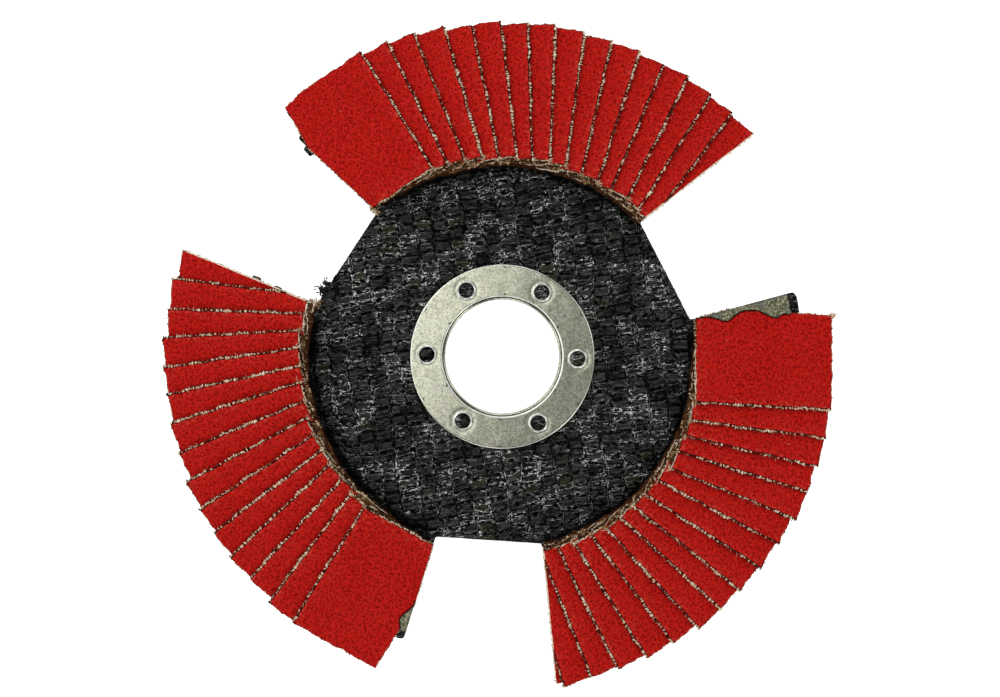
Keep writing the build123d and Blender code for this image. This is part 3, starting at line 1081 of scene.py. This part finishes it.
        # The tone: up to 1 where the grit is rubbed, near the right edge and the inner end,
        # and above 1 a painted shade along the rim, which the grit material paints dark.
        worn_and_painted_light = np.exp(-(gx + half_w) / 0.8) + np.exp(-(gy + half_l) / 1.3)
        wear_and_painted_light = np.clip(worn_and_painted_light, 0, 1) + 2 * np.exp(-inset / 0.15)
        wear_and_painted_light = np.concatenate([wear_and_painted_light.ravel(), np.zeros(2 * n)])
        return trimmed(points, faces, slots, wear_and_painted_light, plane_cuts)


def trimmed(points, faces, slots, wear_and_painted_light, plane_cuts):
    """Cuts a closed mesh by upright planes and closes the cuts with cut cloth."""
    bm = bmesh.new()
    layer = bm.verts.layers.float.new("wear_and_painted_light")
    for p, w in zip(points, wear_and_painted_light):
        bm.verts.new(p)[layer] = w
    bm.verts.ensure_lookup_table()
    for face, slot in zip(faces, slots):
        bm.faces.new([bm.verts[i] for i in face]).material_index = slot
    for place, normal in plane_cuts:
        side = [(v.co - Vector(place)).dot(Vector(normal)) for v in bm.verts]
        if max(side, default=-1) <= 0:
            continue
        bmesh.ops.bisect_plane(
            bm,
            geom=bm.verts[:] + bm.edges[:] + bm.faces[:],
            plane_co=place,
            plane_no=normal,
            clear_outer=True,
        )
        open_edges = [e for e in bm.edges if e.is_boundary]
        if open_edges:
            filled = bmesh.ops.holes_fill(bm, edges=open_edges, sides=0)
            for face in filled["faces"]:
                face.material_index = 1
    bm.verts.index_update()
    out_points = np.array([tuple(v.co) for v in bm.verts]).reshape(-1, 3)
    out_faces = [tuple(v.index for v in f.verts) for f in bm.faces]
    out_slots = [f.material_index for f in bm.faces]
    out_wear_and_shade = [v[layer] for v in bm.verts]
    bm.free()
    return out_points, out_faces, out_slots, out_wear_and_shade


def fan_planes(fan):
    """The upright planes of a fan's two cut ends, as a point and outward normal."""
    low, low_way = gap_side(GAPS[fan], True)
    high, high_way = gap_side(GAPS[(fan + 1) % 3], False)
    return (
        ((*low, 0), (sin(low_way), -cos(low_way), 0)),
        ((*high, 0), (-sin(high_way), cos(high_way), 0)),
    )


def outside(plan, planes):
    """Which plan points lie beyond either cut."""
    beyond = np.zeros(len(plan), bool)
    for place, normal in planes:
        beyond |= (plan - np.array(place[:2])) @ np.array(normal[:2]) > 0
    return beyond


YARN_PITCH = 0.24
UPRIGHT = [0.0, 0.0, 1.0]


def clumps(places, seed, size=2.4):
    """How pale the yarn is along an edge: pale runs and dark runs, from 0 to 1."""
    level = smooth_noise(places, places * 0 + 3.0, size, seed)
    return np.clip((level - 0.5) * 2.4 + 0.5, 0, 1)


def fray(flap, pile, planes):
    """Yarn ends and loose fibres along the flap's free edges. The low row under the right
    edge, the foot, is nearly all dark and stands for the shadow line there: painted shade.
    """
    rng = flap.rng
    half_w, half_l = FLAP_WIDTH / 2, FLAP_LENGTH / 2
    shown = FLAP_WIDTH if flap.index == 0 else STRIP - 0.6
    runs = [
        (np.arange(-half_l, half_l, YARN_PITCH), "right"),
        (np.arange(-half_l, half_l, YARN_PITCH * 1.3), "foot"),
        (np.arange(-half_w, -half_w + shown, YARN_PITCH), "inner"),
        (np.arange(-half_w, -half_w + shown, YARN_PITCH), "outer"),
    ]
    if flap.index == 0:
        runs.append((np.arange(-half_l + 15, half_l, YARN_PITCH), "left"))
    for places, edge in runs:
        places = places + rng.normal(0, 0.08, len(places))
        keep = rng.random(len(places)) < (0.7 if edge == "outer" else 0.9)
        places = places[keep]
        n = len(places)
        if edge in ("right", "foot", "left"):
            side = 1 if edge == "left" else -1
            x, y = flap.edges(np.full(n, side * half_w), places)
            aim = side * flap.left
        else:
            side = -1 if edge == "inner" else 1
            x, y = flap.edges(places, np.full(n, side * half_l))
            aim = side * flap.ahead
        pale = clumps(places, flap.seed + 11)
        foot = edge == "foot"
        lowest, highest = (0.05, 0.4) if foot else (0.4, 0.9)
        deep = FLAP_THICK * rng.uniform(lowest, highest, n)
        roots = flap.point(x, y, deep)
        aims = np.zeros((n, 3))
        aims[:, :2] = aim + rng.normal(0, 0.25, (n, 2))
        aims[:, 2] = rng.normal(0.15, 0.25, n)
        reach = {"right": 1.1, "foot": 1.5, "inner": 0.8, "outer": 0.6, "left": 0.6}[edge]
        sizes = np.stack(
            [
                (0.14 + 0.4 * rng.random(n)) * (0.5 + 0.5 * pale) * reach,
                0.18 + 0.2 * rng.random(n),
                0.24 + 0.2 * rng.random(n),
            ],
            -1,
        )
        # Painted shade: all but one in twenty of the foot's stubs are dark.
        light = rng.random(n) < (0.05 if foot else 0.45 + 0.5 * pale)
        tones = np.where(light, rng.uniform(0.75, 1, n), rng.uniform(0, 0.25, n))
        inside = ~outside(roots[:, :2] + 0.3 * unit(aims)[:, :2], planes)
        if inside.any():
            ups = np.tile(UPRIGHT, (inside.sum(), 1))
            copies = place_copies(STUB, roots[inside], aims[inside], ups, sizes[inside])
            pile.add(*copies, 3, np.repeat(tones[inside], len(STUB[0])))
        hairs = inside & (rng.random(n) < 0.16)
        for k in np.flatnonzero(hairs):
            along = rng.normal(0, 0.9)
            aside = flap.left if edge in ("inner", "outer") else flap.ahead
            way = aims[k] + along * np.append(aside, 0)
            length = rng.uniform(0.4, 0.95)
            copies = place_copies(
                fibre_shape(rng.uniform(-5, 5)),
                roots[k] + [0, 0, 0.15],
                way + [0, 0, rng.uniform(0, 0.5)],
                rng.normal(0, 1, 3),
                [length, 0.08, 0.08],
            )
            pile.add(*copies, 3, rng.uniform(0.5, 1.0))
    corner = flap.point(*flap.edges(np.array([-half_w]), np.array([-half_l])), 0.6)
    if not outside(corner[:, :2], planes)[0]:
        aim = np.append(-flap.left - 0.5 * flap.ahead, 0.25)
        hairs = int(rng.integers(5, 14))
        tuft(pile, corner[0], aim, hairs, 0.9, 0.14, 0.5, 3, rng, (0.6, 1.0))


# Yarns laid along a flap's inner end: lift, how far out, tone, share in cream
END_ROWS = [
    (0.1, 0.24, 0.05, 0.0),
    (0.25, 0.18, 0.12, 0.0),
    (0.42, 0.1, 0.28, 0.0),
    (0.58, 0.04, 0.05, 0.0),
    (0.74, -0.02, 0.22, 0.05),
    (0.92, -0.08, 0.4, 0.55),
]


def lay_strands(flap, pile, planes):
    """Yarns that abrasion has bared along the flap's inner end, and dark strands low along
    its right edge that stand for the shadow line there: painted shade. They lie against the
    edge, one above another."""
    rng = flap.rng
    half_w, half_l = FLAP_WIDTH / 2, FLAP_LENGTH / 2
    ends = [(-half_w, half_w, *row) for row in END_ROWS]
    # Painted shade: two rows of dark strands low along the right edge.
    sides = [(-half_l, half_l, lift, 0.02, 0.1, 0.0) for lift in (0.2, 0.5)]
    for first, last, lift, out, shade, cream in ends + sides:
        edge = first == -half_l
        place = first + rng.uniform(0, 1.0)
        while place < last - 1.0:
            length = min(rng.uniform(1.0, 4.0), last - place)
            t = np.linspace(place, place + length, max(int(length / 0.35), 4))
            proud = out + 0.08 * rng.random() + 0.04 * rng.standard_normal(len(t))
            if edge:
                x, y = flap.edges(np.full(len(t), -half_w), t)
                x = x - proud
            else:
                x, y = flap.edges(t, np.full(len(t), -half_l))
                y = y - proud
            sway = 0.05 * rng.standard_normal(len(t))
            path = flap.point(x, y, lift * FLAP_THICK + sway)
            path = path[~outside(path[:, :2], planes)]
            if len(path) > 3:
                thick = rng.uniform(0.12, 0.18) * (0.5 + 0.9 * rng.random(len(path)))
                creamy = rng.random() < cream
                tone = rng.uniform(0.8, 1.0) if creamy else shade * rng.uniform(0.5, 1.6)
                tones = tone + 0.15 * np.repeat(rng.standard_normal(len(path)), 4)
                pile.add(*strand(path, thick), 3, np.clip(tones, 0, 1))
            place += length + rng.uniform(-0.3, 0.7)


def cut_lines(pile, planes, which, flaps, rng):
    """The cut edge of the topmost flaps at a fan's end: a pale line of bared cloth
    with a dark one under it."""
    start, along, facing = cut_side(planes, which)
    steps = np.arange(-3, 34, 0.4)
    plan = start + steps[:, None] * along + 0.04 * facing
    owner = np.full(len(steps), -1)
    for number in reversed(range(len(flaps))):
        owner[on_flap_plan(flaps[number], plan)[2]] = number
    for number, flap in enumerate(flaps):
        mine = plan[owner == number]
        if len(mine) < 4:
            continue
        x, y, _ = on_flap_plan(flap, mine)
        for lift, thick, tone in ((0.9, 0.3, 0.93), (0.62, 0.24, 0.75), (0.3, 0.26, 0.3)):
            z = flap.under(x, y) + lift * FLAP_THICK
            path = np.column_stack([mine, z + 0.02 * rng.standard_normal(len(z))])
            tones = tone + 0.07 * np.repeat(rng.standard_normal(len(z)), 4)
            pile.add(*strand(path, thick), 3, np.clip(tones, 0, 1))


def cut_side(planes, which):
    """Where a fan's cut starts, which way it runs and which way it faces, in plan."""
    (px, py, _), (nx, ny, _) = planes[which]
    along = np.array([-ny, nx]) if which == 0 else np.array([ny, -nx])
    return np.array([px, py]), along, np.array([nx, ny])


def on_flap_plan(flap, plan):
    """Plan points across and along a flap, and whether it covers them."""
    local = plan - flap.centre
    x, y = local @ flap.left, local @ flap.ahead
    return x, y, (np.abs(x) < FLAP_WIDTH / 2) & (np.abs(y) < FLAP_LENGTH / 2)


def fray_cut(pile, planes, which, flaps, rng):
    """Yarn ends along the top of a fan's cut end, where the topmost flap shows."""
    start, along, (nx, ny) = cut_side(planes, which)
    for step in np.arange(-8, 34, 0.33):
        p = start + along * step
        for flap in flaps:
            x, y, covered = on_flap_plan(flap, p)
            if covered:
                layers = 1 if which else 5
                z = float(flap.under(x, y)) + rng.uniform(0.15, 0.75)
                z -= LAYER_STEP * int(rng.integers(0, layers))
                low = front_height(hypot(*p)) + BED_THICK
                aim = [nx + rng.normal(0, 0.3), ny + rng.normal(0, 0.3), rng.normal(0, 0.3)]
                size = [rng.uniform(0.12, 0.42), rng.uniform(0.2, 0.36)]
                size.append(rng.uniform(0.25, 0.5))
                copies = place_copies(STUB, [p[0], p[1], max(z, low)], aim, UPRIGHT, size)
                pile.add(*copies, 3, rng.uniform(0.1, 1.0))
                break


flap_materials = [red_grit, cut_cloth, cloth_back, yarn]
for fan, (_, _, shown, _) in enumerate(FANS):
    planes = fan_planes(fan)
    flaps = [Flap(fan, index) for index in range(shown + REMNANTS)]
    for index in range(shown):
        flap, pile = flaps[index], Pile()
        pile.add(*flap.build(planes))
        fray(flap, pile, planes)
        lay_strands(flap, pile, planes)
        if index == 0:
            fray_cut(pile, planes, 1, flaps[:1], flap.rng)
        if index == shown - 1:
            fray_cut(pile, planes, 0, flaps, flap.rng)
            cut_lines(pile, planes, 0, flaps, flap.rng)
        number = shown - index
        cloth = f"fan{fan + 1}_flap_{number:02d}_cloth"
        piece = pile.piece(cloth, flap_materials, "abrasive_cloth")
        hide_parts(f"fan{fan + 1}_flap_{number:02d}")
    pile = Pile()
    for flap in flaps[shown:]:
        mesh_parts = flap.build(planes)
        if len(mesh_parts[0]):
            pile.add(*mesh_parts)
            lay_strands(flap, pile, planes)
    piece = pile.piece(f"fan{fan + 1}_cut_cloth", flap_materials, "abrasive_cloth")
    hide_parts(f"fan{fan + 1}_cut_flaps")

# Cement beds ----------------------------------------------------------------------
for fan in range(3):
    share, across = shares(46, 190)
    inner = BED_IN_R + 0.35 * edge_noise(across[0] * 80, 300 + fan, 2.5)
    outer = BED_OUT_R + 0.45 * edge_noise(across[0] * 80, 310 + fan, 3.0) - 0.6
    radius = inner + share * (outer - inner)
    begin, end = fan_sides(fan, radius)
    turns = begin + across * (end - begin)
    x, y = radius * np.cos(turns), radius * np.sin(turns)
    lumps = layered_noise(x, y, 2.2, 320 + fan, 3)
    near_end = np.minimum(share, 1 - share) * 17
    near_edge = np.minimum(near_end, np.minimum(across, 1 - across) * 80)
    lift = (BED_THICK - 0.1 + 0.09 * lumps) * (1 - 0.55 * np.exp(-near_edge / 0.35))
    base = PLATE_THICK + dish(radius)
    top = np.stack([x, y, base + lift], -1)
    low = np.stack([x, y, base - 0.25], -1)
    pile = Pile()
    pile.add(*slab(top, low))
    piece = pile.piece(f"fan{fan + 1}_cement", [cement], "cement")
    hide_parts(f"fan{fan + 1}_cement_bed")

# Cement that squeezed out past the top flaps and set on their low edges. Each lobe
# is: how far along the cut side, how wide it reaches from the side, its half length.
SQUEEZE = {
    2: [(43.2, 1.9, 2.5), (52.9, 3.9, 2.8), (48.0, 0.9, 3.0), (56.2, 2.9, 1.5)],
    1: [(54.0, 2.0, 2.0), (57.0, 1.3, 1.2)],
}


def squeeze_width(lobes, along):
    return sum(w * np.exp(-(((along - c) / h) ** 2)) for c, w, h in lobes)


for fan, lobes in SQUEEZE.items():
    place, heading = gap_side(GAPS[(fan + 1) % 3], False)
    way = np.array([cos(heading), sin(heading)])
    inward = np.array([sin(heading), -cos(heading)])
    foot = place - (place @ way) * way
    first = min(c - 2.1 * h for c, _, h in lobes)
    last = min(max(c + 1.3 * h for c, _, h in lobes), BED_OUT_R + 0.2)
    along = np.arange(first, last, 0.16)
    flap = Flap(fan, 0)
    steps = np.linspace(0, 1, 40)
    width = squeeze_width(lobes, along) + 0.14 * edge_noise(along, 341 + fan, 1.0)
    width = np.clip(width, 0.12, None) * np.clip((last - along) / 0.5, 0.25, 1) ** 0.5
    from_side, from_rim = width[:, None] * steps, width[:, None] * (1 - steps)
    plan = foot + along[:, None, None] * way + from_side[..., None] * inward
    plan = plan - 0.04 * inward
    x, y = plan[..., 0], plan[..., 1]
    radius = np.hypot(x, y)
    lx, ly, _ = on_flap_plan(flap, plan)
    on_flap = 1 / (1 + np.exp((lx - FLAP_WIDTH / 2 - 0.45) / 0.14))
    on_flap = on_flap * (np.abs(ly) < FLAP_LENGTH / 2)
    bare = PLATE_THICK + dish(radius) + BED_THICK
    over = flap.under(lx, ly) + FLAP_THICK + 0.1
    rim = np.minimum(from_side + 0.25, from_rim)
    crown = 0.3 * (1 - np.exp(-np.clip(rim, 0, None) / 0.22))
    crown = crown + 0.07 * layered_noise(x, y, 1.1, 347, 3)
    base = bare * (1 - on_flap) + over * on_flap
    top = np.stack([x, y, base + np.clip(crown, 0.0, None)], -1)
    low = np.stack([x, y, np.minimum(base - 0.25, bare)], -1)
    tone = np.clip(1.2 - from_rim / 0.2, 0, 1)
    tone = tone * (width[:, None] > 0.3)
    pile = Pile()
    pile.add(*slab(top, low), 0, np.append(tone, tone * 0))
    pile.add(*strand(top[:, -1] + [0, 0, 0.03], 0.2), 1, 0.7)
    pile.piece(f"fan{fan + 1}_cement_overflow", [cement, resin], "cement")

# Glass fibres left standing at the cut edges of the plate --------------------------
rng = np.random.default_rng(500)
pile = Pile()


def glass_tuft(place, aim, count, length, thick=0.1, spread=0.5):
    tuft(pile, place, aim, count, length, thick, spread, 0, rng, (0.55, 1.0))


def ragged_lump(place, along, out, sizes, seed):
    """A torn lump of resin and glass: half sizes along, out from and up the edge."""
    rows, columns = 18, 26
    tilt = np.linspace(0, pi, rows)[:, None] * np.ones((1, columns))
    spin = np.linspace(0, 2 * pi, columns, endpoint=False)[None, :] * np.ones((rows, 1))
    a, b, c = np.sin(tilt) * np.cos(spin), np.sin(tilt) * np.sin(spin), np.cos(tilt)
    swell = 1 + 0.3 * layered_noise(a * 3 + seed, b * 3 + c * 2, 1.3, 510, 3)
    size_a, size_b, size_c = sizes
    points = (
        np.asarray(place)
        + (a * swell * size_a)[..., None] * along
        + (b * swell * size_b)[..., None] * out
        + (c * swell * size_c)[..., None] * np.array(UPRIGHT)
    )
    tone = np.clip(0.55 + 0.4 * layered_noise(a * 4, b * 4 + seed, 1.0, 511, 2), 0, 1)
    pile.add(points, grid_faces(rows, columns, 0, True), 0, tone)


for gap in GAPS:
    facing = radians(gap[0])
    out = np.array([cos(facing), sin(facing), 0])
    cross = np.array([-sin(facing), cos(facing), 0])
    low, high = (GAP_EDGE_R * tan(radians(side - gap[0])) for side in (gap[1], gap[3]))
    for place in np.arange(low + 0.3, high - 0.3, 0.7):
        p = GAP_EDGE_R * out + (place + rng.normal(0, 0.2)) * cross
        p[2] = dish(np.hypot(p[0], p[1])) + rng.uniform(0.2, PLATE_THICK - 0.2)
        glass_tuft(p, out + 0.4 * rng.normal(0, 1, 3), int(rng.integers(1, 4)), 0.5, 0.1)

# Torn lumps and shreds on the second gap: which side (None is the straight inner
# edge), how far along it, half sizes along, out and up, and how many shreds
TORN = [
    (None, 7.4, (1.3, 0.7, 0.8), 10, 0.8),
    (None, 6.8, (0.5, 1.6, 0.6), 7, 0.6),
    (None, 8.3, (0.5, 1.3, 0.6), 8, 0.6),
    (None, 4.8, (0.6, 0.25, 0.4), 0, 0.7),
    (False, 55.1, (1.3, 1.1, 0.7), 0, 0.6),
    (True, 50.1, (1.0, 0.55, 0.5), 0, 0.5),
    (True, 45.6, (0.8, 0.35, 0.4), 0, 0.5),
]
for number, (side, reach, sizes, shreds, length) in enumerate(TORN):
    facing = radians(GAPS[1][0])
    if side is None:
        out = np.array([cos(facing), sin(facing), 0])
        along = np.array([-sin(facing), cos(facing), 0])
        place = GAP_EDGE_R * out + reach * along
    else:
        turn = side_turn(GAPS[1], side, reach)
        heading = gap_side(GAPS[1], side)[1]
        along = np.array([cos(heading), sin(heading), 0])
        out = np.array([-along[1], along[0], 0]) * (-1 if side else 1)
        place = np.array([reach * cos(turn), reach * sin(turn), 0])
    height = dish(np.hypot(*place[:2])) + PLATE_THICK - 0.7
    place = place + np.array([0, 0, height])
    ragged_lump(place, along, out, sizes, number * 7.0)
    for _ in range(shreds):
        spot = place + along * rng.normal(0, sizes[0] * 0.6)
        spot = spot + out * rng.uniform(0, sizes[1])
        spot[2] += rng.uniform(-0.4, 0.7)
        glass_tuft(spot, out + [0, 0, 0.3], 2, length, 0.42, 0.7)
shreds = pile.piece("glass_shreds", [resin], "glass_resin")
points = np.concatenate(pile.points)
set_values(shreds, "strand_u", points[:, 0] / WARP_PITCH)
set_values(shreds, "strand_v", points[:, 1] / WEFT_PITCH)

# Loose yarn: tufts at both ends of the second gap's edge, and at a flap's corner
rng = np.random.default_rng(530)
pile = Pile()
facing = radians(GAPS[1][0])
outward = np.array([cos(facing), sin(facing), -0.3])
for side, rise, count in ((False, 1.6, 40), (True, 2.6, 46)):
    place = gap_side(GAPS[1], side)[0]
    along = place / np.hypot(*place)
    for _ in range(count):
        height = dish(np.hypot(*place)) + PLATE_THICK + rng.uniform(0, rise)
        spot = np.append(place + along * rng.uniform(-0.3, 1.1), height)
        tuft(pile, spot, outward * 0.6, 2, 1.0, 0.24, 0.6, 0, rng, (0.55, 1.0))
corner = Flap(2, 0).point(FLAP_WIDTH / 2 - 0.3, FLAP_LENGTH / 2 - 0.1, FLAP_THICK * 0.7)
for _ in range(16):
    spot = corner + rng.normal(0, 0.25, 3) * [0.6, 1.0, 0.5]
    tuft(pile, spot, np.array([1.0, 0.35, 0.1]), 2, 1.1, 0.2, 0.35, 0, rng, (0.75, 1.0))
pile.piece("loose_yarn", [yarn], "abrasive_cloth")

# Stage: floor, light and camera ---------------------------------------------
CAMERA_HEIGHT = 235.0
CAMERA_TURN = 3.2
CAMERA_ASIDE = (-0.44, 1.58)
CAMERA_LENS = 42.77
FLOOR_GLOW = 0.9
FLOOR_HALF = 3.0
FLOOR_DROP = 0.0002
WORLD_LIGHT = 0.17


def floor_material():
    s = Shade("pale_floor")
    s.shader.inputs["Emission Color"].default_value = (1, 1, 1, 1)
    s.shader.inputs["Emission Strength"].default_value = FLOOR_GLOW
    tint = s.mix(s.ramp(s.noise(60.0, 2.0), 0.3, 0.7), (0.86, 0.86, 0.86), (0.9, 0.9, 0.9))
    return s.finish(tint, 0.9, specular=0.1)


floor_mesh = bpy.data.meshes.new("floor")
floor_corners = [(-1, -1), (1, -1), (1, 1), (-1, 1)]
floor_corners = [(x * FLOOR_HALF, y * FLOOR_HALF, 0) for x, y in floor_corners]
floor_mesh.from_pydata(floor_corners, [], [(0, 1, 2, 3)])
floor = bpy.data.objects.new("floor", floor_mesh)
floor.location.z = -FLOOR_DROP
bpy.context.scene.collection.objects.link(floor)
floor_mesh.materials.append(floor_material())

camera = bpy.data.objects.new("camera", bpy.data.cameras.new("camera"))
bpy.context.scene.collection.objects.link(camera)
camera.data.lens = CAMERA_LENS
camera.data.sensor_width = 36.0
camera.data.clip_start = 0.01
turn = radians(CAMERA_TURN)
aside_x, aside_y = CAMERA_ASIDE
camera.location = (
    (aside_x * cos(turn) - aside_y * sin(turn)) * MM,
    (aside_x * sin(turn) + aside_y * cos(turn)) * MM,
    CAMERA_HEIGHT * MM,
)
camera.rotation_euler = (0, 0, turn)
bpy.context.scene.camera = camera

world = bpy.data.worlds.new("studio")
world.use_nodes = True
world.node_tree.nodes["Background"].inputs["Color"].default_value = (1, 1, 1, 1)
world.node_tree.nodes["Background"].inputs["Strength"].default_value = WORLD_LIGHT
bpy.context.scene.world = world


def softbox(name, place_mm, size_mm, watts):
    """A square lamp aimed at the disc's centre."""
    lamp = bpy.data.objects.new(name, bpy.data.lights.new(name, "AREA"))
    lamp.data.size = size_mm * MM
    lamp.data.energy = watts
    lamp.location = Vector(place_mm) * MM
    lamp.rotation_euler = (-lamp.location).to_track_quat("-Z", "Y").to_euler()
    bpy.context.scene.collection.objects.link(lamp)


# A broad panel just left of overhead, a dim one right of it, a ring of soft lamps
# all round, and three small hard ones that pick out the edges of the glass strands
softbox("overhead_panel", (-160, 60, 470), 340, 0.37)
softbox("side_panel", (190, -70, 460), 330, 0.05)
RING_LAMPS = 6
for k in range(RING_LAMPS):
    turn = 2 * pi * (k + 0.4) / RING_LAMPS
    softbox(f"ring_lamp_{k + 1}", (420 * cos(turn), 420 * sin(turn), 360), 200, 0.37)
softbox("glint_lamp_1", (-160, 420, 400), 70, 0.24)
softbox("glint_lamp_2", (-440, 60, 380), 70, 0.2)
softbox("glint_lamp_3", (300, -330, 400), 70, 0.2)
bpy.context.scene.view_settings.view_transform = "Standard"
